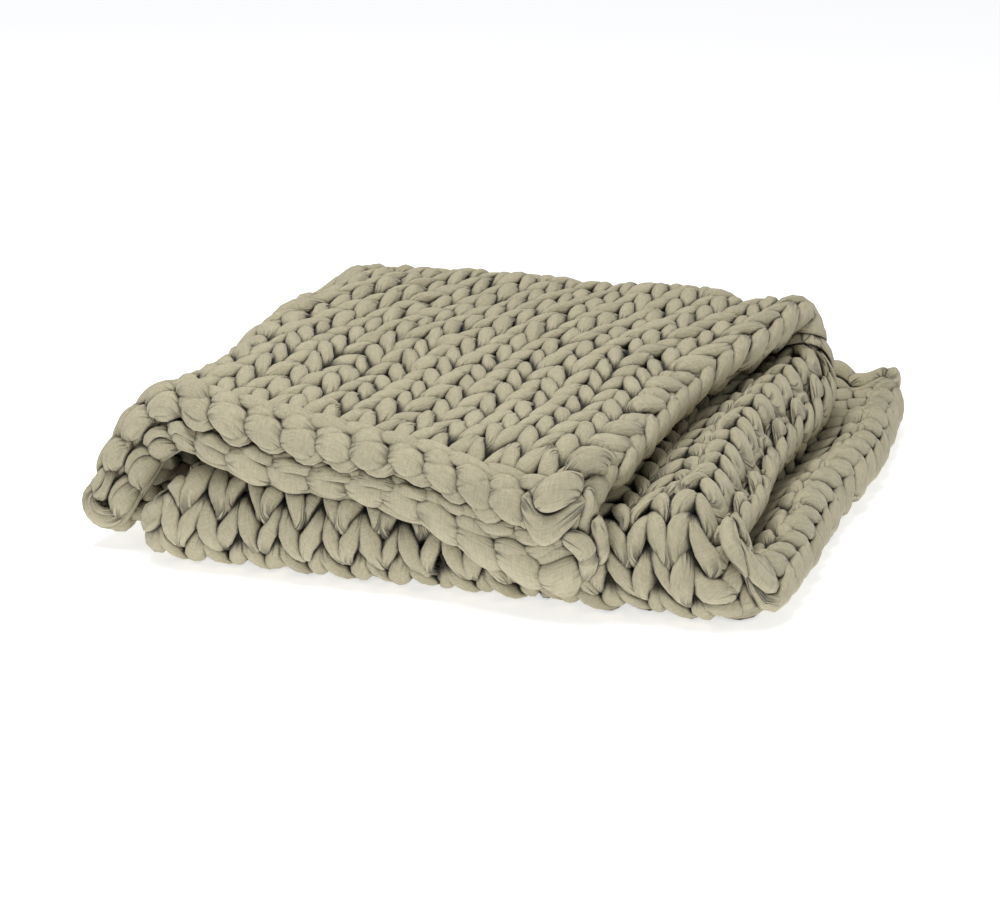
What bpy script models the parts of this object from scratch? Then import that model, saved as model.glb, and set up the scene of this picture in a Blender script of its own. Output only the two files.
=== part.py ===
"""A chunky hand-knitted weighted blanket, folded and laid flat.

The blanket is one sheet of thick stockinette. It is first folded in half across
its width, with the fold on the left and the two selvedges on the right, and then
folded back and forth along its length in three passes. So the stack is six layers
high. Seen from the left, the folded pair of layers runs along this path:

    top pass      <-------------.    the bound-off edge hangs over the front
    middle pass   .------------->    front turn at the left of this sketch,
    bottom pass   '<-------------    back turn at its right

Directions: +X is the viewer's right, +Y is the back, +Z is up. Lengths in this
file are centimetres, and METRES turns them into Blender's metres.
"""

import bmesh
import bpy
import numpy as np

METRES = 0.01

# The cloth.
THICKNESS = 2.5            # one layer of knitting
LAYER_RISE = 2.75          # from one layer to the next in the stack
HALF_GAP = LAYER_RISE / 2  # from the middle of a folded pair to a layer's centre
WALES_UNDER = 14           # columns of stitches in the half that faces the floor
WALES_ROUND = 1            # columns that turn the left-hand fold
WALES_OVER = 15            # columns in the half that faces up
WALES = WALES_UNDER + WALES_ROUND + WALES_OVER
RIB_HEIGHT = 0.22          # how far each column of stitches stands proud
EDGE_HEIGHT = 0.3          # how far the cast-on and bound-off edges stand proud
EDGE_SHARE = 0.22          # how far the selvedges are rounded out, in columns

# The path of the folded pair, seen from its side.
FIRST_RISE = HALF_GAP + THICKNESS / 2  # the bottom pass lies on the surface
TURN_RADIUS = 2.85         # at the front turn and at the back turn
FRONT_TURN_Y = 0.5         # the front turn's centre
HANG_RADIUS = 3 * TURN_RADIUS  # the top pass lies over the front turn

# The path changes from left to right, because the passes are not laid square.
PATH = np.array([
    # x, cast-on y, back turn y, hang length, hang share
    (-6.0, 61.0, 35.0, 1.5, 0.0),
    (3.0, 60.8, 37.4, 3.2, 0.1),
    (8.0, 60.6, 39.6, 5.2, 0.5),
    (14.0, 60.4, 41.6, 5.8, 1.0),
    (20.0, 60.0, 42.6, 6.1, 1.0),
    (28.0, 59.6, 43.2, 6.8, 1.0),
    (36.0, 59.2, 43.4, 9.0, 1.0),
    (41.0, 58.8, 43.4, 9.6, 1.0),
    (45.0, 58.4, 43.4, 7.6, 1.0),
    (60.0, 57.6, 43.2, 7.6, 1.0),
])

# Where the folded pair lies from left to right, for each stage of the path. What
# hangs over the left end of the stack bends down with a radius to a slope.
STAGES = np.array([
    # stage, left fold x, under selvedge x, over selvedge x, bend radius, slope
    (0.0, 4.6, 55.6, 57.2, 3.6, 0.0),
    (0.5, 5.4, 57.4, 58.4, 3.6, 0.0),
    (0.9, 3.8, 57.6, 58.6, 3.6, 0.0),
    (1.5, 4.2, 55.2, 57.2, 3.6, 0.0),
    (2.0, 9.2, 53.2, 54.2, 3.6, 0.0),
    (2.5, 9.6, 52.2, 53.2, 3.6, 0.0),
    (3.0, 9.2, 51.2, 52.2, 3.6, 2.0),
    (3.5, 6.4, 50.4, 51.2, 3.6, 12.0),
    (4.0, 1.4, 47.8, 48.4, 3.6, 34.0),
    (4.5, -2.0, 44.4, 45.0, 3.6, 50.0),
    (4.8, -2.5, 43.6, 44.2, 4.8, 54.0),
    (5.0, -3.0, 43.4, 43.8, 7.4, 58.0),
    (6.0, -3.4, 44.0, 42.6, 9.0, 59.0),
])
DRAPE_X = 7.4              # the top pass starts to bend down here

# Soft ridges and troughs that run from front to back. Each one starts at a
# height in the stack and carries along everything that lies higher.
RIDGES = np.array([
    # x, height, half width, starts at z, fades toward y
    (57.2, 1.0, 2.2, 0.0, 200.0),
    (53.6, -1.2, 1.9, 0.0, 200.0),
    (50.2, 1.0, 2.6, 5.5, 200.0),
    (44.6, -1.0, 3.2, 5.5, 42.0),
    (7.0, 0.9, 7.0, 11.0, 200.0),
    (30.0, -0.5, 9.0, 11.0, 20.0),
])
SAG = 0.06                 # the stack is lower at its right front
SAG_X, SAG_Y = 38.0, -2.0
SAG_WIDE, SAG_DEEP = 22.0, 22.0
WAVE = 0.28                # slow unevenness of the layers
WAVE_X, WAVE_Y = 17.0, 21.0
SWAY = 0.45                # slow wander of the columns to the side
SWAY_Y = 33.0

# How finely the skin is divided.
CELLS_PER_WALE = 2
CELLS_ROUND = 6
CELLS_PASS = 6
CELLS_TURN = 8
CELLS_HANG = 5
LAST_STAGE = 6

COTTON = (0.434, 0.407, 0.270, 1.0)
COTTON_ROUGHNESS = 0.95


def clear_scene():
    """Remove whatever the scene holds."""
    for thing in list(bpy.data.objects):
        bpy.data.objects.remove(thing, do_unlink=True)


def smooth_table(table, where):
    """Read every column of a table at the places asked for, along soft curves.

    The slope at each row is the mean of the slopes beside it, and the cubic
    between two rows keeps the values and slopes at both.
    """
    key = table[:, 0]
    values = table[:, 1:]
    steps = np.diff(values, axis=0) / np.diff(key)[:, None]
    slopes = np.vstack([steps[:1], (steps[:-1] + steps[1:]) / 2, steps[-1:]])
    flat = np.clip(where, key[0], key[-1])
    row = np.clip(np.searchsorted(key, flat, side="right") - 1, 0, len(key) - 2)
    width = key[row + 1] - key[row]
    t = ((flat - key[row]) / width)[..., None]
    width = width[..., None]
    curve = (
        (2 * t**3 - 3 * t**2 + 1) * values[row]
        + (t**3 - 2 * t**2 + t) * width * slopes[row]
        + (3 * t**2 - 2 * t**3) * values[row + 1]
        + (t**3 - t**2) * width * slopes[row + 1]
    )
    return np.moveaxis(curve, -1, 0)


def path_point(stage, offset, x):
    """Follow the side view of the folded pair at one place from left to right.

    stage counts along the path: 0 to 1 is the bottom pass, 1 to 2 the front turn,
    2 to 3 the middle pass, 3 to 4 the back turn, 4 to 5 the top pass and 5 to 6
    what hangs over the front. offset is the distance from the middle of the pair
    toward the half that faces up. Returns y, z and the tilt of the pair.
    """
    cast_on_y, back_y, hang_length, hang_share = smooth_table(PATH, x)
    bottom = np.clip(stage, 0, 1) * (cast_on_y - FRONT_TURN_Y)
    front_turn = np.clip(stage - 1, 0, 1) * np.pi
    middle = np.clip(stage - 2, 0, 1) * (back_y - FRONT_TURN_Y)
    back_turn = np.clip(stage - 3, 0, 1) * np.pi
    top = np.clip(stage - 4, 0, 1) * (back_y - FRONT_TURN_Y)
    bend = np.maximum(hang_share, 1e-4) / HANG_RADIUS
    hang = np.clip(stage - 5, 0, 1) * hang_length * bend / (1 + bend * offset)
    y = (
        cast_on_y - bottom - TURN_RADIUS * np.sin(front_turn) + middle
        + TURN_RADIUS * np.sin(back_turn) - top - np.sin(hang) / bend
    )
    z = (
        FIRST_RISE + TURN_RADIUS * (1 - np.cos(front_turn))
        + TURN_RADIUS * (1 - np.cos(back_turn)) - (1 - np.cos(hang)) / bend
    )
    return y, z, front_turn - back_turn - hang


def drape(distance, bend_radius, slope):
    """Bend a straight run of cloth down: an arc first, and then a slope.

    distance is measured along the cloth from where the bend starts, and below 0
    the cloth is level. Returns the reach sideways, the drop and the slope there.
    """
    turned = np.clip(distance / bend_radius, 0, slope)
    level = np.minimum(distance, 0)
    beyond = np.maximum(distance - bend_radius * slope, 0)
    reach = level + bend_radius * np.sin(turned) + beyond * np.cos(slope)
    drop = bend_radius * (1 - np.cos(turned)) + beyond * np.sin(slope)
    return reach, drop, turned


def unevenness(x, y, z):
    """Lift, lower and sway the whole stack a little, leaving its underside flat."""
    rise = np.zeros_like(z)
    for ridge_x, height, half_width, start, fades in RIDGES:
        across = np.exp(-(((x - ridge_x) / half_width) ** 2))
        along = 1 / (1 + np.exp((y - fades) / 4.0))
        carried = np.clip((z - start) / (2 * LAYER_RISE), 0, 1)
        rise += height * across * along * carried
    wave = np.sin(x / WAVE_X * 2 * np.pi + 0.6) * np.sin(y / WAVE_Y * 2 * np.pi + 1.1)
    rise += WAVE * wave * np.clip(z / (4 * LAYER_RISE), 0, 1)
    sag = np.exp(-(((x - SAG_X) / SAG_WIDE) ** 2) - ((y - SAG_Y) / SAG_DEEP) ** 2)
    sway = SWAY * np.sin(y / SWAY_Y * 2 * np.pi + 0.4) * np.clip(z / LAYER_RISE, 0, 1)
    return x + sway, y, (z + rise) * (1 - SAG * sag)


def halves(wale):
    """Say how far a column lies from the left-hand fold, and how far round it.

    Returns the share of the way to the under selvedge, the share of the way to
    the over selvedge, and the angle round the fold from 0 (under) to pi (over).
    """
    under = np.clip(WALES_UNDER - wale, 0, None) / WALES_UNDER
    over = np.clip(wale - WALES_UNDER - WALES_ROUND, 0, None) / WALES_OVER
    turn = np.clip(wale - WALES_UNDER, 0, WALES_ROUND) / WALES_ROUND * np.pi
    return under, over, turn


def cloth_point(wale, stage, height):
    """Place one point of the cloth.

    wale counts the columns of stitches from the under half's selvedge, round the
    left-hand fold, to the over half's selvedge. height is measured from the
    centre of the cloth toward its knit face, which is always on the outside.
    """
    left_x, under_x, over_x, bend_radius, slope = smooth_table(STAGES, stage)
    slope = np.radians(slope)
    under, over, turn = halves(wale)
    radius = HALF_GAP + height
    offset = -radius * np.cos(turn)
    slope_run = (DRAPE_X - left_x - bend_radius * np.sin(slope)) / np.cos(slope)
    overhang = bend_radius * slope + slope_run
    run = under * (overhang + under_x - DRAPE_X) + over * (overhang + over_x - DRAPE_X)
    beyond = overhang - run + radius * np.sin(turn)
    reach, drop, lean = drape(beyond, bend_radius, slope)
    x = DRAPE_X - reach
    y, z, tilt = path_point(stage, offset, x)
    x = x - offset * np.sin(lean) * np.cos(tilt)
    y = y + offset * np.sin(tilt)
    z = z - drop + offset * np.cos(lean) * np.cos(tilt)
    return unevenness(x, y, z)


def skin_heights(wale, stage):
    """Give the heights of the knit face and the purl face at each point.

    Each column of stitches is a rib on the knit face. The first and last rows are
    fuller. The part of the knit face that lies on the surface below is plain.
    """
    grounded = (wale < WALES_UNDER + 0.4) & (stage < 1.1)
    rib = RIB_HEIGHT * np.cos(np.pi * wale) ** 2
    edge = EDGE_HEIGHT * np.maximum(stage > LAST_STAGE - 0.01, stage < 0.01)
    knit = THICKNESS / 2 + np.where(grounded, 0, edge - rib)
    return knit, np.full_like(knit, -THICKNESS / 2)


def stations(*runs):
    """Join evenly spaced runs, given as (first, last, cells), into one list."""
    pieces = [np.linspace(first, last, cells + 1)[:-1] for first, last, cells in runs]
    return np.append(np.concatenate(pieces), runs[-1][1])


def blanket_points():
    """Lay out the skin: a ring round the cloth's thickness for each stage."""
    wales = stations(
        (0, WALES_UNDER, WALES_UNDER * CELLS_PER_WALE),
        (WALES_UNDER, WALES_UNDER + WALES_ROUND, CELLS_ROUND),
        (WALES_UNDER + WALES_ROUND, WALES, WALES_OVER * CELLS_PER_WALE),
    )
    stages = stations(
        (0, 1, CELLS_PASS), (1, 2, CELLS_TURN), (2, 3, CELLS_PASS),
        (3, 4, CELLS_TURN), (4, 5, CELLS_PASS), (5, LAST_STAGE, CELLS_HANG),
    )
    stage, wale = np.meshgrid(stages, wales, indexing="ij")
    knit, purl = skin_heights(wale, stage)
    over_rim = wale[:, -1:] + EDGE_SHARE
    under_rim = wale[:, :1] - EDGE_SHARE
    middle = np.zeros_like(over_rim)
    ring_wale = np.hstack([wale, over_rim, wale[:, ::-1], under_rim])
    ring_height = np.hstack([knit, middle, purl[:, ::-1], middle])
    ring_stage = np.repeat(stages[:, None], ring_wale.shape[1], axis=1)
    return np.stack(cloth_point(ring_wale, ring_stage, ring_height), axis=-1)


def blanket_faces(rings, around):
    """Join neighbouring rings with four-sided faces and close both ends."""
    faces = []
    for ring in range(rings - 1):
        for step in range(around):
            a = ring * around + step
            b = ring * around + (step + 1) % around
            faces.append((a, b, b + around, a + around))
    last = (rings - 1) * around
    columns = around // 2 - 1
    for step in range(columns - 1):
        across = around - 2 - step
        faces.append((step, across, across - 1, step + 1))
        faces.append((last + step, last + step + 1, last + across - 1, last + across))
    for first in (0, last):
        ends = [(0, around - 1, around - 2), (columns - 1, columns + 1, columns)]
        for end in ends:
            corner = [first + index for index in end]
            faces.append(corner if first == 0 else corner[::-1])
    return faces


def cotton():
    """Make the blanket's matte cotton jersey, a soft sage green."""
    material = bpy.data.materials.new("cotton_jersey")
    material.use_nodes = True
    shader = material.node_tree.nodes["Principled BSDF"]
    shader.inputs["Base Color"].default_value = COTTON
    shader.inputs["Roughness"].default_value = COTTON_ROUGHNESS
    return material


def knitted_blanket():
    """Build the blanket, with its origin at the bottom centre of its box."""
    points = blanket_points()
    rings, around = points.shape[:2]
    points = points.reshape(-1, 3)
    low, high = points.min(axis=0), points.max(axis=0)
    points -= [(low[0] + high[0]) / 2, (low[1] + high[1]) / 2, low[2]]
    mesh = bpy.data.meshes.new("knitted_blanket")
    mesh.from_pydata((points * METRES).tolist(), [], blanket_faces(rings, around))
    shape = bmesh.new()
    shape.from_mesh(mesh)
    bmesh.ops.recalc_face_normals(shape, faces=shape.faces)
    bmesh.ops.triangulate(shape, faces=shape.faces)
    shape.to_mesh(mesh)
    shape.free()
    mesh.shade_smooth()
    blanket = bpy.data.objects.new("knitted_blanket", mesh)
    blanket.data.materials.append(cotton())
    bpy.context.scene.collection.objects.link(blanket)
    return blanket


clear_scene()
knitted_blanket()
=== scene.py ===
# %% [markdown]
# # A chunky knitted blanket, one stitch at a time
# The blanket is hand-knitted from a stuffed tube of cotton jersey about as thick
# as a thumb, then folded in half and folded again in three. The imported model
# already holds its folded shape as one plain solid. A texture of V's on that
# solid would look flat, because each stitch really is a fat piece of tube that
# dives under its neighbours. So this lesson lays the yarn itself: first on a
# flat knitting chart, and then carried through the folds by one map.

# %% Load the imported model
import bpy
import numpy as np
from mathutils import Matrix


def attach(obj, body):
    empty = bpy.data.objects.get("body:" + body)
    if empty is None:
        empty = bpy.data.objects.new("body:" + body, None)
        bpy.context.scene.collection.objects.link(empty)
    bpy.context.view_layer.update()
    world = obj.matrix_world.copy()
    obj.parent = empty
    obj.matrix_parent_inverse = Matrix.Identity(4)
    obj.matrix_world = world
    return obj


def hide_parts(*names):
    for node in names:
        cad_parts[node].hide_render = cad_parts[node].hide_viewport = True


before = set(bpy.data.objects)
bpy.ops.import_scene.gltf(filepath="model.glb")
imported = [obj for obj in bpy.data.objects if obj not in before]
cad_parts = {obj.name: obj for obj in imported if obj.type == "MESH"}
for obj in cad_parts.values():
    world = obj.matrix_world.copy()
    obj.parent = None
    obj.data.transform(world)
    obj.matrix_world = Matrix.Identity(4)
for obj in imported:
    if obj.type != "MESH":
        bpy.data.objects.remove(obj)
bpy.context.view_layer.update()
BLANKET = "knitted_blanket"

# %% [markdown]
# ## The folded cloth
# All the lengths here are centimetres, as a knitter would measure them, and only
# the finished points are turned into metres. The folded pair of layers follows a
# path with three passes and two turns. Two short tables say how that path and
# the ends of the cloth change from left to right and along the path.

# %% Sizes of the folded cloth
METRES = 0.01
CENTRE = np.array([26.8413, 26.4047, 0.0])  # the middle of the stack's footprint
LAYER_RISE = 2.75                # from one layer's centre to the next
HALF_GAP = LAYER_RISE / 2
THICKNESS = 2.5                  # one layer of knitting
WALE_WIDTH, ROW_RISE = 3.8, 3.25  # one column and one row on the flat chart
WALES_UNDER, WALES_ROUND, WALES_OVER = 14, 1, 15  # lower half, fold, upper half
WALES = WALES_UNDER + WALES_ROUND + WALES_OVER
FIRST_RISE = HALF_GAP + THICKNESS / 2  # the bottom pass lies on the floor
TURN_RADIUS = 2.85               # of the pair's middle, at the front and the back
FRONT_TURN_Y = 0.5               # the straight passes end here at the front
HANG_RADIUS = 3 * TURN_RADIUS    # the top pass bends down over the front
DRAPE_X = 7.4                    # the pair bends down to the left of this
FOLD_X = 4.4                     # the fold follows one column while it's left of this
SAG, SAG_X, SAG_Y, SAG_WIDE, SAG_DEEP = 0.06, 38.0, -2.0, 22.0, 22.0  # share, place, size
WAVE, WAVE_X, WAVE_Y = 0.28, 17.0, 21.0  # height, and length each way
WAVE_START_X, WAVE_START_Y = 0.6, 1.1  # its phases, in radians
SWAY, SWAY_Y, SWAY_START = 0.45, 33.0, 0.4  # sideways, length and phase
RIDGE_FADE = 4.0                 # a ridge fades out over about this length
LAST_STAGE = 6
ROLLED_IN = 1.6                  # the knitting is this much wider: its selvedges curl

PATH = np.array([
    # x, cast-on y, back turn y, hang length, hang share
    (-6.0, 61.0, 35.0, 1.5, 0.0),
    (3.0, 60.8, 37.4, 3.2, 0.1),
    (8.0, 60.6, 39.6, 5.2, 0.5),
    (14.0, 60.4, 41.6, 5.8, 1.0),
    (20.0, 60.0, 42.6, 6.1, 1.0),
    (28.0, 59.6, 43.2, 6.8, 1.0),
    (36.0, 59.2, 43.4, 9.0, 1.0),
    (41.0, 58.8, 43.4, 9.6, 1.0),
    (45.0, 58.4, 43.4, 7.6, 1.0),
    (60.0, 57.6, 43.2, 7.6, 1.0),
])
STAGES = np.array([
    # stage, left fold x, under selvedge x, over selvedge x, bend radius, slope
    (0.0, 4.6, 55.6, 57.2, 3.6, 0.0),
    (0.5, 5.4, 57.4, 58.4, 3.6, 0.0),
    (0.9, 3.8, 57.6, 58.6, 3.6, 0.0),
    (1.5, 4.2, 55.2, 57.2, 3.6, 0.0),
    (2.0, 9.2, 53.2, 54.2, 3.6, 0.0),
    (2.5, 9.6, 52.2, 53.2, 3.6, 0.0),
    (3.0, 9.2, 51.2, 52.2, 3.6, 2.0),
    (3.5, 6.4, 50.4, 51.2, 3.6, 12.0),
    (4.0, 1.4, 47.8, 48.4, 3.6, 34.0),
    (4.5, -2.0, 44.4, 45.0, 3.6, 50.0),
    (4.8, -2.5, 43.6, 44.2, 4.8, 54.0),
    (5.0, -3.0, 43.4, 43.8, 7.4, 58.0),
    (6.0, -3.4, 44.0, 42.6, 9.0, 59.0),
])
RIDGES = np.array([
    # x, height, half width, starts at z, fades toward y
    (57.2, 1.0, 2.2, 0.0, 200.0),
    (53.6, -1.2, 1.9, 0.0, 200.0),
    (50.2, 1.0, 2.6, 5.5, 200.0),
    (44.6, -1.0, 3.2, 5.5, 42.0),
    (7.0, 0.9, 7.0, 11.0, 200.0),
    (30.0, -0.5, 9.0, 11.0, 20.0),
])
print(WALES, "columns of stitches,", len(STAGES), "stations along the path")


# %% Read the tables along soft curves
def smooth_table(table, where):
    """Every column of a table at the places asked for.

    Between two rows it is the cubic that keeps the value at both rows and, at
    each row, the mean of the slopes on its two sides.
    """
    key, values = table[:, 0], table[:, 1:]
    steps = np.diff(values, axis=0) / np.diff(key)[:, None]
    slopes = np.vstack([steps[:1], (steps[:-1] + steps[1:]) / 2, steps[-1:]])
    flat = np.clip(where, key[0], key[-1])
    row = np.clip(np.searchsorted(key, flat, side="right") - 1, 0, len(key) - 2)
    width = key[row + 1] - key[row]
    t = ((flat - key[row]) / width)[..., None]
    width = width[..., None]
    curve = (
        (2 * t**3 - 3 * t**2 + 1) * values[row]
        + (t**3 - 2 * t**2 + t) * width * slopes[row]
        + (3 * t**2 - 2 * t**3) * values[row + 1]
        + (t**3 - t**2) * width * slopes[row + 1]
    )
    return np.moveaxis(curve, -1, 0)


print("half-way along the top pass:", smooth_table(STAGES, np.array([4.5]))[:, 0])


# %% [markdown]
# ## The map from the chart to the folds
# A point of the cloth has three chart numbers: its column, its stage along the
# folded path, and its height toward the knit face. The map bends the pair round
# the two turns and over the front, and then lets it drape over the left side.
# Everything that is drawn on the flat chart follows through this one map.

# %% The side view of the folded pair
def path_point(stage, offset, x):
    """Side view at one x: straight passes joined by half circles, then an arc.

    Stage 0 to 1 is the bottom pass, 1 to 2 the front turn, 2 to 3 the middle
    pass, 3 to 4 the back turn, 4 to 5 the top pass and 5 to 6 the overhang.
    The result is y, z and the tilt of the pair, without the offset itself.
    """
    cast_on_y, back_y, hang_length, hang_share = smooth_table(PATH, x)
    bottom = np.clip(stage, 0, 1) * (cast_on_y - FRONT_TURN_Y)
    front_turn = np.clip(stage - 1, 0, 1) * np.pi
    middle = np.clip(stage - 2, 0, 1) * (back_y - FRONT_TURN_Y)
    back_turn = np.clip(stage - 3, 0, 1) * np.pi
    top = np.clip(stage - 4, 0, 1) * (back_y - FRONT_TURN_Y)
    bend = np.maximum(hang_share, 1e-4) / HANG_RADIUS
    hang = np.clip(stage - 5, 0, 1) * hang_length * bend / (1 + bend * offset)
    y = (
        cast_on_y - bottom - TURN_RADIUS * np.sin(front_turn) + middle
        + TURN_RADIUS * np.sin(back_turn) - top - np.sin(hang) / bend
    )
    z = (
        FIRST_RISE + TURN_RADIUS * (1 - np.cos(front_turn))
        + TURN_RADIUS * (1 - np.cos(back_turn)) - (1 - np.cos(hang)) / bend
    )
    return y, z, front_turn - back_turn - hang


def drape(distance, bend_radius, slope):
    """Cloth that bends down: level, then an arc, then straight at the slope."""
    turned = np.clip(distance / bend_radius, 0, slope)
    level = np.minimum(distance, 0)
    beyond = np.maximum(distance - bend_radius * slope, 0)
    reach = level + bend_radius * np.sin(turned) + beyond * np.cos(slope)
    drop = bend_radius * (1 - np.cos(turned)) + beyond * np.sin(slope)
    return reach, drop, turned


# %% The unevenness of a hand-folded stack
def unevenness(x, y, z):
    """Bell-shaped ridges, slow sine waves and a sag, all nil on the floor."""
    rise = np.zeros_like(z)
    for ridge_x, height, half_width, start, fades in RIDGES:
        across = np.exp(-(((x - ridge_x) / half_width) ** 2))
        along = 1 / (1 + np.exp((y - fades) / RIDGE_FADE))
        rise += height * across * along * np.clip((z - start) / (2 * LAYER_RISE), 0, 1)
    wave = np.sin(x / WAVE_X * 2 * np.pi + WAVE_START_X)
    wave = wave * np.sin(y / WAVE_Y * 2 * np.pi + WAVE_START_Y)
    rise += WAVE * wave * np.clip(z / (4 * LAYER_RISE), 0, 1)
    sag = np.exp(-(((x - SAG_X) / SAG_WIDE) ** 2) - ((y - SAG_Y) / SAG_DEEP) ** 2)
    sway = SWAY * np.sin(y / SWAY_Y * 2 * np.pi + SWAY_START) * np.clip(z / LAYER_RISE, 0, 1)
    return x + sway, y, (z + rise) * (1 - SAG * sag)


# %% The whole map
def keep_columns_straight(wale, left_x):
    """Where the fold lies further right, it takes in an earlier column.

    The columns on each side of it are then shared out evenly again.
    """
    fold = WALES_UNDER - np.clip(left_x - FOLD_X, 0, None) / WALE_WIDTH
    under = wale * WALES_UNDER / fold
    over = WALES - (WALES - wale) * WALES_OVER / (WALES_OVER + WALES_UNDER - fold)
    turn = wale - fold + WALES_UNDER
    return np.where(wale < fold, under, np.where(wale > fold + WALES_ROUND, over, turn))


def cloth_point(wale, stage, height):
    """Chart numbers to centimetres.

    The two halves lie one gap apart and join in a half circle at the left-hand
    fold. The pair drapes sideways, follows the side view, and is then uneven.
    """
    left_x, under_x, over_x, bend_radius, slope = smooth_table(STAGES, stage)
    wale = keep_columns_straight(wale, left_x)
    slope = np.radians(slope)
    under_x, over_x = under_x + ROLLED_IN, over_x + ROLLED_IN
    under = np.clip(WALES_UNDER - wale, 0, None) / WALES_UNDER
    over = np.clip(wale - WALES_UNDER - WALES_ROUND, 0, None) / WALES_OVER
    turn = np.clip(wale - WALES_UNDER, 0, WALES_ROUND) / WALES_ROUND * np.pi
    radius = HALF_GAP + height
    offset = -radius * np.cos(turn)
    slope_run = (DRAPE_X - left_x - bend_radius * np.sin(slope)) / np.cos(slope)
    overhang = bend_radius * slope + slope_run
    run = under * (overhang + under_x - DRAPE_X) + over * (overhang + over_x - DRAPE_X)
    beyond = overhang - run + radius * np.sin(turn)
    reach, drop, lean = drape(beyond, bend_radius, slope)
    x = DRAPE_X - reach
    y, z, tilt = path_point(stage, offset, x)
    x = x - offset * np.sin(lean) * np.cos(tilt)
    y = y + offset * np.sin(tilt)
    z = z - drop + offset * np.cos(lean) * np.cos(tilt)
    return np.stack(unevenness(x, y, z), axis=-1)


print("the bound-off front corner:", cloth_point(np.array([30.0]), np.array([6.0]), 0)[0])

# %% [markdown]
# ## Rows of stitches
# The rows are about evenly spaced along every column, as the knitter made them.
# The turns are longer on their outside, so each column is measured by itself.
# Only the rows of the lower half lie straight as far as the front turn, where
# they show from end to end. The lines are then evened out from column to column,
# because a row is one strand of yarn and can't jump.

# %% Where each row lies on the path
ROW_PARTS, WALE_PARTS = 8, 4     # grid lines in each row and in each column
CHART_WALES = np.linspace(-1, WALES + 1, WALE_PARTS * (WALES + 2) + 1)
CHART_STAGES = np.linspace(0, LAST_STAGE, 1201)
EVEN_OUT = 5                     # spread of the evening, in quarter columns
STRAIGHT_TO = 2.0                # rows lie straight as far as this stage
STRAIGHT_WALES = 20.0            # and from the left up to about this column


def row_lines(rows):
    """The stage of each row line in each column.

    Row reached = rows * length so far / whole length. Up to the end of the front
    turn the lower half's mean takes its place, and the rest of each column is
    shared out evenly. A bell-shaped mean over neighbouring columns follows.
    """
    stage, wale = np.meshgrid(CHART_STAGES, CHART_WALES, indexing="ij")
    steps = np.linalg.norm(np.diff(cloth_point(wale, stage, 0.0), axis=0), axis=-1)
    length = np.vstack([np.zeros((1, len(CHART_WALES))), np.cumsum(steps, axis=0)])
    reached = rows * length / length[-1]
    lower = (CHART_WALES >= 0) & (CHART_WALES <= WALES_UNDER)
    straight = reached[:, lower].mean(axis=1, keepdims=True)
    share = 1 / (1 + np.exp(CHART_WALES - STRAIGHT_WALES))
    first = straight * share + reached * (1 - share)
    last = np.searchsorted(CHART_STAGES, STRAIGHT_TO)
    left = (length - length[last]) / (length[-1] - length[last])
    rest = first[last] + (rows - first[last]) * left
    reached = np.where(np.arange(len(CHART_STAGES))[:, None] < last, first, rest)
    wanted = np.linspace(0, rows, ROW_PARTS * rows + 1)
    lines = np.stack([np.interp(wanted, run, CHART_STAGES) for run in reached.T], axis=1)
    reach = np.arange(-3 * EVEN_OUT, 3 * EVEN_OUT + 1)
    bell = np.exp(-((reach / EVEN_OUT) ** 2) / 2)
    wide = np.pad(lines, ((0, 0), (len(reach) // 2,) * 2), mode="edge")
    even = sum(
        weight * wide[:, shift:shift + lines.shape[1]]
        for shift, weight in enumerate(bell / bell.sum())
    )
    return even, length[-1].mean()


ROWS = 51                        # rows of stitches
CHART_ROWS = ROWS + 1            # and half a row for each finished edge
ROW_LINES, MEAN_LENGTH = row_lines(CHART_ROWS)
print("mean length of a column, in cm:", round(MEAN_LENGTH, 1), "or",
      round(MEAN_LENGTH / CHART_ROWS, 2), "a row")


# %% From the chart to the room
def between(grid, i, j):
    """Values of a grid at fractional places, mixed from the four around each."""
    i = np.clip(i, 0, grid.shape[0] - 1.001)
    j = np.clip(j, 0, grid.shape[1] - 1.001)
    a, b = i.astype(int), j.astype(int)
    u, v = i - a, j - b
    near = grid[a, b] * (1 - v) + grid[a, b + 1] * v
    far = grid[a + 1, b] * (1 - v) + grid[a + 1, b + 1] * v
    return near * (1 - u) + far * u


CURL_START = 3.4                 # the selvedges start to curl this far inside
CURL_RADIUS = 1.7
LAST_STEP = 0.25                 # rows, for the cloth's direction at its two ends


def curl_selvedges(across, height):
    """Both side edges roll toward the purl face, along an arc.

    Past the start of the curl, the run becomes radius * angle, and a point at a
    height above the arc turns with it.
    """
    middle = WALES * WALE_WIDTH / 2
    side = np.sign(across - middle)
    past = np.maximum(np.abs(across - middle) - (middle - CURL_START), 0)
    angle = past / CURL_RADIUS
    swing = CURL_RADIUS + height
    across = across - side * (past - swing * np.sin(angle))
    return across, height - swing * (1 - np.cos(angle))


def to_room(chart, curled=True):
    """Flat chart centimetres (across, along, height) to metres in the room.

    Past its first and last row the cloth goes straight on along the last step.
    An edge that isn't curled is drawn in from both sides instead.
    """
    middle = WALES * WALE_WIDTH / 2
    across = middle + (chart[..., 0] - middle) * (1 - ROLLED_IN / middle)
    height = chart[..., 2]
    if curled:
        across, height = curl_selvedges(chart[..., 0], chart[..., 2])
    wale, row = across / WALE_WIDTH, chart[..., 1] / ROW_RISE
    held = np.clip(row, 0.0, CHART_ROWS)
    past = row - held
    line = lambda at: between(ROW_LINES, ROW_PARTS * at, WALE_PARTS * (wale + 1))
    here = cloth_point(wale, line(held), height)
    inside = np.clip(held - LAST_STEP * np.sign(past), 0, CHART_ROWS)
    step = (here - cloth_point(wale, line(inside), height)) / LAST_STEP
    room = (here + step * np.abs(past)[..., None] - CENTRE) * METRES
    room[..., 2] = np.maximum(room[..., 2], 0.0)
    return room


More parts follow.
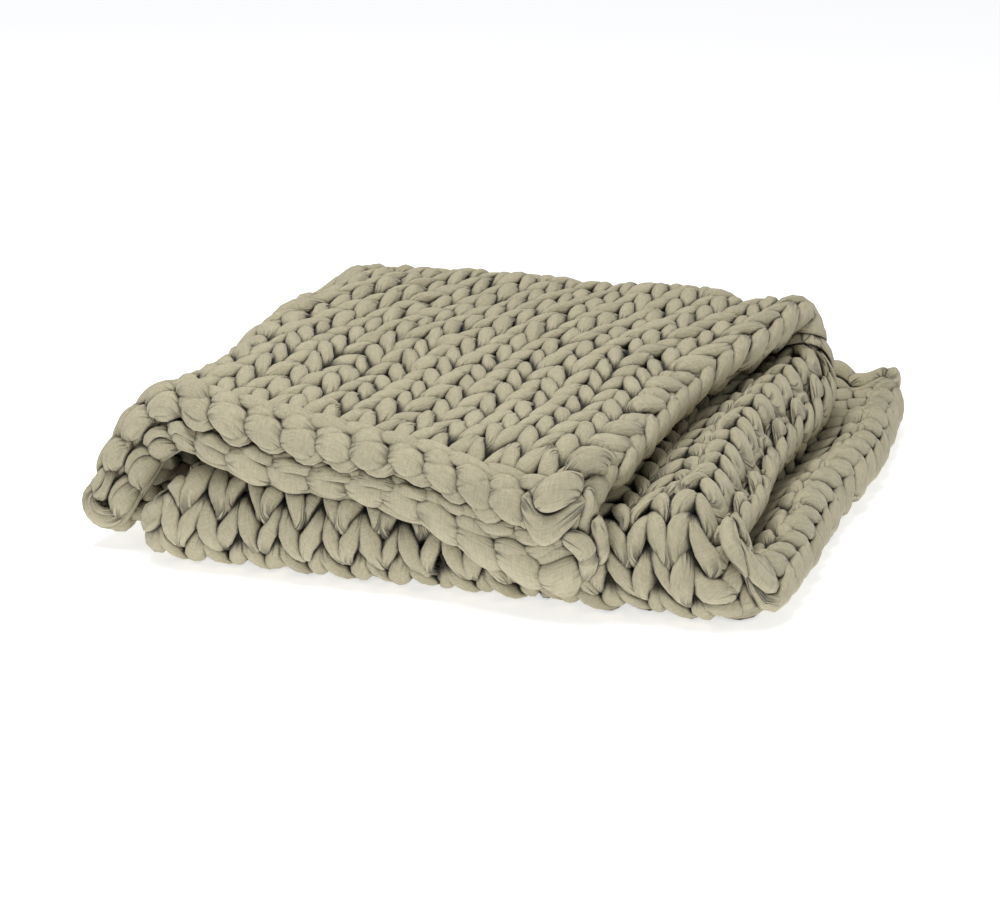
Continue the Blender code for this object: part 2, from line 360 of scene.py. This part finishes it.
# %% [markdown]
# ## One stitch
# In plain knitting each row is one wavy strand. Its legs lie on the knit face
# and make the V's, and its heads and feet lie behind, hooked round the rows
# above and below. On the chart that is a few sines: one period across is one
# stitch. The legs are fat, because nothing presses on them there, and the yarn
# is pinched where it dives behind.

# %% The strand's path over one stitch
LEG_REACH = 2.95                 # from a row's middle to its heads or feet
LEG_LEAN = 1.1                   # how far the legs swing to the side
LOOP_DEPTH = 0.52                # how far legs stand before the middle
SHINGLE = 0.42                   # each V's point lies over the row below
FAT, PINCHED = 0.99, 0.54        # radii of the strand, across
FLATTENED = 0.80                 # its radius through the cloth, as a share


def strand(turn):
    """One stitch as turn goes from 0 to 1, in chart centimetres.

    across = pitch * turn + lean * sin(2 angle); along = -reach * cos(angle);
    height = -depth * cos(2 angle) + shingle * cos(angle).
    """
    angle = 2 * np.pi * turn
    across = WALE_WIDTH * turn + LEG_LEAN * np.sin(2 * angle)
    along = -LEG_REACH * np.cos(angle)
    height = -LOOP_DEPTH * np.cos(2 * angle) + SHINGLE * np.cos(angle)
    return np.stack([across, along, height], axis=-1)


def fullness(turn):
    """1 in the middle of a leg and 0 at the heads and feet."""
    return (1 - np.cos(4 * np.pi * turn)) / 2


print("a stitch from foot to leg to head:", strand(np.array([0, 0.25, 0.5])).round(2))

# %% [markdown]
# ## The whole yarn
# The yarn runs to the right, turns at the selvedge, and comes back one row
# higher. Stitches that lie between the layers get fewer points, because nobody
# sees them. Each leg also gets its own small shift and fullness from a seeded
# table, since no two hand-made stitches match.

# %% Which stitches show
FINE, COARSE = 26, 8            # points along one stitch
SELVEDGE_POINTS = 9
SELVEDGE_OUT, SELVEDGE_UP = 0.7, 0.3  # how far the yarn swings out where it turns
SELVEDGE_FAT = 0.8               # and how full it is there
SELVEDGE_LEAST, SELVEDGE_MORE = 0.4, 0.5  # how smooth its skin is: ends, and middle


def stitches_that_show():
    """True for each row and column that any side of the stack shows."""
    row, wale = np.meshgrid(np.arange(ROWS) + 0.5, np.arange(WALES) + 0.5, indexing="ij")
    stage = between(ROW_LINES, ROW_PARTS * row, WALE_PARTS * (wale + 1))
    under = wale < WALES_UNDER
    # the fold at the left, from end to end
    shows = (wale > WALES_UNDER - 2) & (wale < WALES_UNDER + WALES_ROUND + 2)
    # of the lower half: the front turn and the overhang
    shows |= under & (stage > 0.85) & (stage < 2.15)
    shows |= under & (stage > 4.8)
    # the selvedges' steps down the right side
    shows |= (wale < 5) & (stage > 1.9) & (stage < 3.1)
    shows |= wale < 2
    shows |= (wale > WALES - 4) & (stage < 1.2)
    shows |= wale > WALES - 2
    # of the upper half: the back turn, the top and the overhang
    shows |= ~under & (stage > 3.0)
    # and the first row, beside the cast-on edge
    return shows | (stage < 0.06)


SHOWS = stitches_that_show()
print(SHOWS.sum(), "stitches show and", (~SHOWS).sum(), "are hidden")

# %% Lay the yarn on the chart, row after row
FIRST_ROW = 1.0                  # the first row's middle, in rows from the end
HAND = np.random.default_rng(24)
LEG_LIMIT = 1.4                  # no leg is odder than this, or a gap would open
LEG_TABLE = np.clip(HAND.normal(size=(5, ROWS, 2 * WALES + 2)), -LEG_LIMIT, LEG_LIMIT)
HAND_SHIFT = np.array([0.15, 0.20, 0.13])  # across, along, height
HAND_FAT = 0.08


def hand_made(channel, row, turns):
    """Each leg's own random number, eased from leg to leg by a half cosine."""
    place = np.clip(2 * turns + 0.5, 0, 2 * WALES + 0.999)
    leg = place.astype(int)
    ease = (1 - np.cos(np.pi * (place - leg))) / 2
    table = LEG_TABLE[channel, row]
    return table[leg] * (1 - ease) + table[leg + 1] * ease


def lay_row(row):
    """One row from its left selvedge to its right, with radii and a tone."""
    counts = np.where(SHOWS[row], FINE, COARSE)
    starts = np.cumsum(counts) - counts
    stitch = np.repeat(np.arange(WALES), counts)
    turn = (np.arange(counts.sum()) - starts[stitch]) / counts[stitch]
    stitch, turn = np.append(stitch, WALES - 1), np.append(turn, 1.0)
    turns = stitch + turn
    path = strand(turns)
    path[:, 1] += (row + FIRST_ROW) * ROW_RISE
    for axis, shift in enumerate(HAND_SHIFT):
        path[:, axis] += shift * hand_made(axis, row, turns)
    full = fullness(turns)
    radius = PINCHED + (FAT - PINCHED) * full
    radius *= 1 + HAND_FAT * hand_made(3, row, turns)
    return np.column_stack([path, radius, full, hand_made(4, row, turns)])


def lay_yarn(rows):
    """Rows joined into one strand that turns at each selvedge."""
    strands = []
    for row in rows:
        line = lay_row(row)
        if row % 2:
            line = line[::-1]
        if strands:
            start, end = strands[-1][-1], line[0]
            share = np.linspace(0, 1, SELVEDGE_POINTS + 2)[1:-1, None]
            turn = start + (end - start) * share
            outward = 1 if row % 2 else -1
            bulge = np.sin(np.pi * share[:, 0])
            turn[:, 0] += outward * SELVEDGE_OUT * bulge
            turn[:, 2] += SELVEDGE_UP * bulge
            turn[:, 3] += SELVEDGE_FAT * (FAT - PINCHED) * bulge
            turn[:, 4] = SELVEDGE_LEAST + SELVEDGE_MORE * bulge
            strands.append(turn)
        strands.append(line)
    return np.vstack(strands)


print("points along two rows:", len(lay_yarn(range(2))))


# %% [markdown]
# ## From a path to a stuffed tube
# Blender's curves could carry a round profile along the path, but the cloth
# stretches and squeezes the yarn in its folds, and a curve's profile would stay
# round. So the rings are set out on the flat chart and go through the map as
# well. The mesh is one long grid: points along the yarn by points around it.

# %% Sweep an oval ring along a path
SIDES = 14
SLUMP = 0.08                     # how uneven the stuffing is
SLUMP_DRIFT, SLUMP_START = 3.1, 0.4  # centimetres of yarn to a radian, and its phase
SLUMP_THREE = 0.6                # the second wave, as a share of the first
SWING_TWO, SWING_THREE = 2.0, 3.0  # how far the two waves swing round the tube
SWING_PACE, SWING_START = 0.7, 1.0
FOLD_DEEP, FOLD_WIDE = 0.15, 0.30  # lengthwise folds of the skin, share and radians
FOLDS = np.array([
    # first angle, how far it swings, how fast
    (1.2, 2.1, 0.31),
    (3.9, 1.7, 0.23),
    (-1.4, 2.6, 0.17),
])


def ring_points(laid, fold_deep, flat):
    """Rings on the chart: path + radius * (cos a * side + flat * sin a * up).

    The side direction is level and square to the path. The up direction is
    square to both. The stuffing slumps: the radius also changes as two slow
    waves, cos(2a + f) and cos(3a + g), whose phases drift along the yarn. Each
    fold of the skin is a bell-shaped groove at an angle that drifts too.
    """
    path, radius = laid[:, :3], laid[:, 3]
    run = np.gradient(path, axis=0)
    run /= np.linalg.norm(run, axis=1, keepdims=True)
    side = np.cross(run, [0.0, 0.0, 1.0])
    side /= np.linalg.norm(side, axis=1, keepdims=True)
    up = np.cross(side, run)
    angle = np.arange(SIDES) / SIDES * 2 * np.pi - np.pi / 2
    drift = np.cumsum(np.linalg.norm(np.gradient(path, axis=0), axis=1)) / SLUMP_DRIFT
    drift = drift[:, None] + SLUMP_START
    slump = SLUMP * np.cos(2 * angle + SWING_TWO * np.sin(drift) + drift)
    swing_three = SWING_THREE * np.sin(SWING_PACE * drift + SWING_START)
    slump += SLUMP_THREE * SLUMP * np.cos(3 * angle + swing_three)
    for first, swing, pace in FOLDS:
        away = angle - first - swing * np.sin(pace * drift + first)
        away = np.angle(np.exp(1j * away))
        slump -= fold_deep * np.exp(-((away / FOLD_WIDE) ** 2))
    radius = radius[:, None, None] * (1 + slump[..., None])
    across = np.cos(angle)[None, :, None] * side[:, None, :]
    through = np.sin(angle)[None, :, None] * up[:, None, :] * flat
    return path[:, None, :] + radius * (across + through)


CLOTH_SIZE = np.array([WALES * WALE_WIDTH, CHART_ROWS * ROW_RISE])
EDGE_BAND = 2.0                  # the middle sheet stops this far inside the edges


def off_the_middle(chart):
    """Distance from the cloth's middle sheet, which stops short of its edges."""
    past = np.abs(chart[..., :2] - CLOTH_SIZE / 2) - (CLOTH_SIZE / 2 - EDGE_BAND)
    sides = np.maximum(past, 0)
    return np.sqrt(chart[..., 2] ** 2 + (sides**2).sum(axis=-1))


def tube_mesh(name, strands, material, curled=True, fold_deep=FOLD_DEEP, flat=FLATTENED):
    """Closed tubes from laid strands: quads along each and a face at each end."""
    chart_rings = np.concatenate([ring_points(laid, fold_deep, flat) for laid in strands])
    rings = to_room(chart_rings, curled)
    laid = np.concatenate(strands)
    sizes = np.array([len(each) for each in strands])
    ends = np.cumsum(sizes) - 1
    firsts = ends - sizes + 1
    inner = np.setdiff1d(np.arange(len(laid)), ends)
    i, j = np.meshgrid(inner, np.arange(SIDES), indexing="ij")
    a, b = i * SIDES + j, i * SIDES + (j + 1) % SIDES
    quads = np.stack([a, b, b + SIDES, a + SIDES], axis=-1).reshape(-1, 4)
    ring = np.arange(SIDES)
    caps = np.vstack([firsts[:, None] * SIDES + ring[::-1], ends[:, None] * SIDES + ring])
    mesh = bpy.data.meshes.new(name)
    mesh.from_pydata(rings.reshape(-1, 3), [], quads.tolist() + caps.tolist())
    length = np.append(0, np.cumsum(np.linalg.norm(np.diff(laid[:, :3], axis=0), axis=1)))
    around = np.stack([j, j + 1, j + 1, j], axis=-1) / SIDES * 2 * np.pi
    around = around * (laid[np.stack([i, i, i + 1, i + 1], axis=-1), 3] + FAT) / 2
    along = length[np.stack([i, i, i + 1, i + 1], axis=-1)]
    chart = np.stack([around, along], axis=-1).reshape(-1) * METRES
    layer = mesh.uv_layers.new(name="yarn")
    layer.data.foreach_set("uv", np.append(chart, np.zeros(2 * caps.size)))
    # pinch steers the creases, depth the painted shade, and tone is each leg's own colour
    facts = {"pinch": np.repeat(1 - laid[:, 4], SIDES), "tone": np.repeat(laid[:, 5], SIDES),
             "depth": off_the_middle(chart_rings).ravel()}
    for label, numbers in facts.items():
        values = mesh.attributes.new(label, "FLOAT", "POINT")
        values.data.foreach_set("value", numbers)
    mesh.shade_smooth()
    mesh.materials.append(material)
    piece = bpy.data.objects.new(name, mesh)
    bpy.context.scene.collection.objects.link(piece)
    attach(piece, "root")
    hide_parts(BLANKET)
    print(name, "has", 2 * len(quads), "triangles")
    return piece


# %% [markdown]
# ## Cotton jersey
# The tube is plain cotton jersey, piece-dyed a greyed sage and never pressed, so
# it is matte with a faint bloom. Its knit is too fine to see as loops. It shows
# as a dry grain, and where the tube is pinched the skin gathers in creases that
# run along it. Both are bumps, laid out with the yarn's own coordinates. The
# grain also varies the dye a little, and the crease lines are painted darker as
# painted shade. The colour is also painted darkest where two strands nearly
# touch and deep inside the cloth: painted shade.

# %% Colours from hex, and one helper for nodes
def linear(hex_colour):
    """An sRGB hex colour as linear red, green, blue and alpha."""
    values = np.array([int(hex_colour[i:i + 2], 16) for i in (1, 3, 5)]) / 255
    light = np.where(values <= 0.04045, values / 12.92, ((values + 0.055) / 1.055) ** 2.4)
    return (*light, 1.0)


def add_node(tree, kind, links=(), **settings):
    """Adds a node. Settings are its own properties or, by name, its inputs."""
    node = tree.nodes.new(kind)
    for key, value in settings.items():
        if hasattr(node, key):
            setattr(node, key, value)
        else:
            node.inputs[key].default_value = value
    for socket, source in dict(links).items():
        tree.links.new(source, node.inputs[socket])
    return node


SAGE = "#BCB498"                # the dyed cotton in open light
SAGE_PAINTED_SHADE = "#322D1D"           # painted shade where two strands press together or lie deep in the cloth
print("sage in linear light:", np.round(linear(SAGE), 3))


# %% The jersey material
GRAIN_MM = 1.3                  # coarser than the real 0.7 mm loops, so that it shows
CONTACT_MM = 4.0                # strands closer than this get painted shade on each other
CREASE_MM = 9.0                 # from one gathered crease to the next, round the tube
CREASE_WIDE = 0.07              # how far off its middle a crease reaches, in noise
CREASE_DARK = 0.55              # how much of the colour the grain and the painted crease shade can take
GRAIN_DEEP, CREASE_DEEP = 0.0010, 0.0020  # metres of bump


def cotton_jersey():
    """Matte knitted cotton: sage with grain and tone, painted shade by openness and in creases.
    """
    material = bpy.data.materials.new("cotton_jersey_sage")
    material.use_nodes = True
    tree = material.node_tree
    shader = tree.nodes["Principled BSDF"]
    shader.inputs["Roughness"].default_value = 0.92
    shader.inputs["Specular IOR Level"].default_value = 0.25
    shader.inputs["Sheen Weight"].default_value = 0.12
    shader.inputs["Sheen Roughness"].default_value = 0.6

    yarn = add_node(tree, "ShaderNodeUVMap", uv_map="yarn").outputs["UV"]
    pinch = add_node(tree, "ShaderNodeAttribute", attribute_name="pinch").outputs["Fac"]
    tone = add_node(tree, "ShaderNodeAttribute", attribute_name="tone").outputs["Fac"]
    depth = add_node(tree, "ShaderNodeAttribute", attribute_name="depth").outputs["Fac"]

    along_yarn = add_node(tree, "ShaderNodeMapping", {"Vector": yarn},
                          Scale=(1000 / CREASE_MM, 1000 / (6 * CREASE_MM), 1)).outputs["Vector"]
    creases = add_node(tree, "ShaderNodeTexNoise", {"Vector": along_yarn},
                       Scale=1.0, Detail=1.0, Roughness=0.4, Distortion=0.5).outputs["Fac"]
    off_line = add_node(tree, "ShaderNodeMath", {0: creases}, operation="SUBTRACT")
    off_line.inputs[1].default_value = 0.5
    near_line = add_node(tree, "ShaderNodeMath", {0: off_line.outputs["Value"]},
                         operation="ABSOLUTE").outputs["Value"]
    sharp = add_node(tree, "ShaderNodeMapRange", {"Value": near_line},
                     interpolation_type="SMOOTHSTEP", **{"From Min": 0.0, "From Max": CREASE_WIDE}
                     ).outputs["Result"]
    full = add_node(tree, "ShaderNodeMath", {0: pinch}, operation="MULTIPLY_ADD")
    full.inputs[1].default_value, full.inputs[2].default_value = -1.0, 1.0
    shoulder = add_node(tree, "ShaderNodeMath", {0: pinch, 1: full.outputs["Value"]},
                        operation="MULTIPLY").outputs["Value"]
    how_deep = add_node(tree, "ShaderNodeMapRange", {"Value": shoulder},
                        **{"From Min": 0.04, "From Max": 0.24, "To Min": 0.0}).outputs["Result"]
    threads = []
    for stretch in ((1, 6, 1), (6, 1, 1)):
        fine = add_node(tree, "ShaderNodeMapping", {"Vector": yarn},
                        Scale=tuple(1000 / GRAIN_MM / s for s in stretch)).outputs["Vector"]
        threads.append(add_node(tree, "ShaderNodeTexNoise", {"Vector": fine},
                                Scale=1.0, Detail=1.0, Roughness=0.5).outputs["Fac"])
    grain = add_node(tree, "ShaderNodeMath", {0: threads[0], 1: threads[1]},
                     operation="ADD").outputs["Value"]

    grain_bump = add_node(tree, "ShaderNodeBump", {"Height": grain},
                          Strength=0.8, Distance=GRAIN_DEEP).outputs["Normal"]
    crease_bump = add_node(tree, "ShaderNodeBump",
                           {"Height": sharp, "Strength": how_deep, "Normal": grain_bump},
                           Distance=CREASE_DEEP).outputs["Normal"]
    tree.links.new(crease_bump, shader.inputs["Normal"])

    # painted shade: the colour darkens deep inside the cloth and where strands nearly touch
    unshaded_by_depth = add_node(tree, "ShaderNodeMapRange", {"Value": depth},
                   interpolation_type="SMOOTHSTEP", **{"From Min": 0.35, "From Max": 0.95}
                   ).outputs["Result"]
    near = add_node(tree, "ShaderNodeAmbientOcclusion", samples=6,
                    Distance=CONTACT_MM / 1000).outputs["AO"]
    clear = add_node(tree, "ShaderNodeMapRange", {"Value": near},
                     **{"From Min": 0.45, "From Max": 0.95}).outputs["Result"]
    left_unshaded = add_node(tree, "ShaderNodeMath", {0: unshaded_by_depth, 1: clear},
                    operation="MULTIPLY").outputs["Value"]
    sage_and_painted_shade = add_node(tree, "ShaderNodeMix", {"Factor": left_unshaded}, data_type="RGBA")
    sage_and_painted_shade.inputs["A"].default_value = linear(SAGE_PAINTED_SHADE)
    sage_and_painted_shade.inputs["B"].default_value = linear(SAGE)
    lighter = add_node(tree, "ShaderNodeMapRange", {"Value": tone},
                       **{"From Min": -3.0, "From Max": 3.0, "To Min": 0.9, "To Max": 1.1}
                       ).outputs["Result"]
    worn = add_node(tree, "ShaderNodeMapRange", {"Value": grain},
                    **{"From Min": 0.7, "From Max": 1.3, "To Min": 0.78, "To Max": 1.22}
                    ).outputs["Result"]
    # painted shade: crease lines darken the colour on the pinched shoulders, over the grain's own
    # tone
    in_line = add_node(tree, "ShaderNodeMath", {0: sharp, 1: worn}, operation="MULTIPLY")
    shade = add_node(tree, "ShaderNodeMix", {"Factor": how_deep, "A": worn,
                                             "B": in_line.outputs["Value"]},
                     data_type="FLOAT").outputs["Result"]
    held = add_node(tree, "ShaderNodeMath", {0: shade}, operation="MULTIPLY_ADD")
    held.inputs[1].default_value = CREASE_DARK
    held.inputs[2].default_value = 1 - CREASE_DARK
    both = add_node(tree, "ShaderNodeMath", {0: held.outputs["Value"], 1: lighter},
                    operation="MULTIPLY").outputs["Value"]
    colour_and_painted_shade = add_node(tree, "ShaderNodeVectorMath",
                    {0: sage_and_painted_shade.outputs["Result"], 1: both}, operation="MULTIPLY")
    tree.links.new(colour_and_painted_shade.outputs["Vector"], shader.inputs["Base Color"])
    return material


JERSEY = cotton_jersey()

# %% Knit the rows in bands
BANDS = 6
edges = np.linspace(0, ROWS, BANDS + 1).astype(int)
for band in range(BANDS):
    rows = range(edges[band], edges[band + 1])
    tube_mesh(f"knitted_rows_{band + 1}", [lay_yarn(rows)], JERSEY)

# %% [markdown]
# ## The finished edges
# The cast-on and the bound-off edge are chains that run along the first and the
# last row. A chain shows as a line of fat loops, one to a stitch, each folded
# over the edge in two lobes, with a thinner strand slanting along the rim above
# them and another below. Each of these is a short tube, pinched at both ends
# where it goes under the next one, so one table can describe a whole link.

# %% One link of the chain
LINK = np.array([
    # start across, along, height, middle across, along, height, end ..., radius
    (-0.66, -0.25, -0.40, 0.00, 0.30, -0.15, 0.56, -0.20, -0.75, 1.14),
    (-0.66, -0.50, 0.15, -0.14, -0.20, 0.65, 0.36, -0.45, -0.10, 0.82),
    (-1.15, -0.90, 0.25, -0.35, -0.62, 1.10, 0.90, -0.80, 0.05, 0.56),
    (-1.00, -0.40, -0.80, -0.05, 0.00, -0.98, 0.85, -0.45, -1.10, 0.64),
])
LINK_POINTS = 18
TAPERED, BLUNT = 0.2, 0.45       # a strand's radius at its ends, as a share
SHOULDERS = 0.42                 # the power that keeps a strand full near its ends
STRAND_VARIES, LINK_SHIFT = 0.05, 0.1  # by hand: share of its radius, centimetres
TWIST_SLIM, SLIM_POWER = 0.6, 0.4  # the links are thinner where the chain twists
TUCKED = 1.0                     # the end links stay this far inside the selvedges
CHAIN_FOLD, CHAIN_FLAT = 0.04, 0.96  # smoother and rounder than the rows
LOWER_OUT = np.array([0.0, 2.0, 0.9])  # the lower chain lies further out on the right
LOWER_FROM, LOWER_OVER = 2.2, 1.0


def bent_strand(start, middle, end, radius, blunt=TAPERED):
    """A short strand that bends through three points, fat in the middle.

    Its path is start * (1 - t)^2 + control * 2t(1 - t) + end * t^2, with the
    control set so that t = 1/2 meets the middle.
    """
    t = np.linspace(0.0, 1.0, LINK_POINTS)[:, None]
    control = 2 * middle - (start + end) / 2
    path = start * (1 - t) ** 2 + control * 2 * t * (1 - t) + end * t**2
    full = np.maximum(np.sin(np.pi * t[:, 0]), 0)
    size = radius * (blunt + (1 - blunt) * full**SHOULDERS)
    size = size * (1 + STRAND_VARIES * HAND.normal())
    tone = np.full(LINK_POINTS, HAND.normal())
    return np.column_stack([path, size, full**0.5, tone])


def chain_links(edge_row, forward):
    """Four short strands for each stitch along one edge.

    The chain twists half a turn where the cloth folds in two, and is thinner
    there.
    """
    strands = []
    for column in range(WALES):
        twist = 1.0 if column > WALES_UNDER else -1.0
        slim = TWIST_SLIM if abs(column - WALES_UNDER) <= 1 else 1.0
        size = np.array([twist * WALE_WIDTH, forward, twist * slim])
        place = np.array([(column + 0.5) * WALE_WIDTH, edge_row * ROW_RISE, 0.0])
        if forward > 0:
            place += LOWER_OUT / (1 + np.exp((column - LOWER_FROM) / LOWER_OVER))
        for link in LINK:
            points = link[:9].reshape(3, 3) * size + place + LINK_SHIFT * HAND.normal(size=3)
            points[:, 0] = np.clip(points[:, 0], TUCKED, CLOTH_SIZE[0] - TUCKED)
            strands.append(bent_strand(*points, link[9] * slim**SLIM_POWER))
    return strands


# %% [markdown]
# The last stitch is pulled through itself and fastened off at the upper corner,
# which leaves a fat knot there. The lower corner ends in one upright loop. Both
# are a few more bent strands, placed one by one from the corner of the chart.

# %% The two fastened corners
KNOT = np.array([
    # from the upper corner: across, along, height three times, then the radius
    (-2.8, 0.1, 0.5, -0.9, 0.8, 1.5, 0.7, -0.2, 0.9, 1.15),
    (-4.2, 0.2, 0.7, -1.7, 1.5, -0.7, 1.2, 0.3, 0.3, 0.85),
    (-0.9, -0.3, 1.5, 0.5, -1.8, 2.0, 1.5, -3.8, 0.8, 0.85),
    (1.0, -0.3, 0.5, 1.4, 0.2, -1.4, 0.2, 0.4, -3.2, 0.90),
    (-1.3, 0.3, -1.1, -0.7, 0.8, -2.2, -1.6, 0.4, -3.3, 1.05),
])
END_LOOP = np.array([
    # from the lower corner, the same way
    (1.6, 1.3, -1.3, -0.3, 2.3, 0.2, 1.3, 1.7, 2.3, 0.95),
    (-0.9, 0.7, -1.5, -1.3, 1.3, 0.3, -0.6, 1.1, 1.8, 0.80),
])
CAST_ON_CORNER = np.array([
    # from the corner over it, the same way
    (-8.8, -0.2, 1.0, -6.4, -0.8, 1.5, -4.0, -0.3, 1.0, 0.95),
    (-5.6, -0.2, 1.1, -3.4, -0.8, 1.4, -1.4, -0.2, 0.7, 1.00),
    (-3.0, -0.2, 0.9, -0.7, -0.5, 0.4, -0.9, 1.8, 0.1, 1.05),
])


def corner_strands(table, across, row):
    """Bent strands from a table that is measured from a corner of the chart."""
    corner = np.array([across, row * ROW_RISE, 0.0])
    return [bent_strand(*(each[:9].reshape(3, 3) + corner), each[9], BLUNT)
            for each in table]


EDGE_IN = 0.35                   # rows in from the cloth's ends to the chains
CORNER_BACK = 0.15               # rows out from the chain to the cast-on corner
BOUND_OFF = chain_links(CHART_ROWS - EDGE_IN, 1)
BOUND_OFF += corner_strands(KNOT, WALES * WALE_WIDTH, CHART_ROWS - EDGE_IN)
BOUND_OFF += corner_strands(END_LOOP, 0.0, CHART_ROWS - EDGE_IN)
CAST_ON = chain_links(EDGE_IN, -1)
CAST_ON += corner_strands(CAST_ON_CORNER, WALES * WALE_WIDTH, EDGE_IN - CORNER_BACK)
tube_mesh("bound_off_edge", BOUND_OFF, JERSEY, False, CHAIN_FOLD, CHAIN_FLAT)
tube_mesh("cast_on_edge", CAST_ON, JERSEY, False, CHAIN_FOLD, CHAIN_FLAT)

# %% [markdown]
# ## The studio
# A pale floor, an even white surround and one broad soft light from above.

# %% Floor, lights and camera
REACH = 40                       # metres of floor each way
CAMERA_AT = np.array([125.49, -273.156, 106.71])  # from the folded cloth's own zero
CAMERA_TILT = (72.0, 0.0, 18.5)  # degrees
floor_mesh = bpy.data.meshes.new("studio_floor")
floor_corners = [(-REACH, -REACH, 0), (REACH, -REACH, 0), (REACH, REACH, 0), (-REACH, REACH, 0)]
floor_mesh.from_pydata(floor_corners, [], [(0, 1, 2, 3)])
floor = bpy.data.objects.new("studio_floor", floor_mesh)
bpy.context.scene.collection.objects.link(floor)
paper = bpy.data.materials.new("white_paper_sweep")
paper.use_nodes = True
sweep = paper.node_tree.nodes["Principled BSDF"]
sweep.inputs["Base Color"].default_value = linear("#EDEEF2")
sweep.inputs["Roughness"].default_value = 0.9
sweep.inputs["Emission Color"].default_value = (1, 1, 1, 1)
sweep.inputs["Emission Strength"].default_value = 0.63
floor_mesh.materials.append(paper)


def soft_light(name, place, size, power):
    """A square area light at a place, aimed at the middle of the blanket."""
    lamp = bpy.data.lights.new(name, "AREA")
    lamp.energy, lamp.size = power, size
    light = bpy.data.objects.new(name, lamp)
    light.location = place
    aim = np.array([0, 0, 0.1]) - place
    light.rotation_euler = (
        np.arctan2(np.hypot(aim[0], aim[1]), -aim[2]), 0, np.arctan2(aim[0], -aim[1])
    )
    bpy.context.scene.collection.objects.link(light)
    return light


soft_light("overhead_softbox", (-0.1, -0.55, 2.3), 1.3, 43.0)
world = bpy.data.worlds.new("studio_surround")
world.use_nodes = True
world.node_tree.nodes["Background"].inputs["Color"].default_value = linear("#FFFFFF")
world.node_tree.nodes["Background"].inputs["Strength"].default_value = 0.32
bpy.context.scene.world = world
bpy.context.scene.view_settings.view_transform = "Standard"

camera_data = bpy.data.cameras.new("studio_camera")
camera_data.lens, camera_data.sensor_width = 126.0, 36.0
camera = bpy.data.objects.new("studio_camera", camera_data)
camera.location = CAMERA_AT * METRES - CENTRE * METRES
camera.rotation_euler = np.radians(CAMERA_TILT)
bpy.context.scene.collection.objects.link(camera)
bpy.context.scene.camera = camera
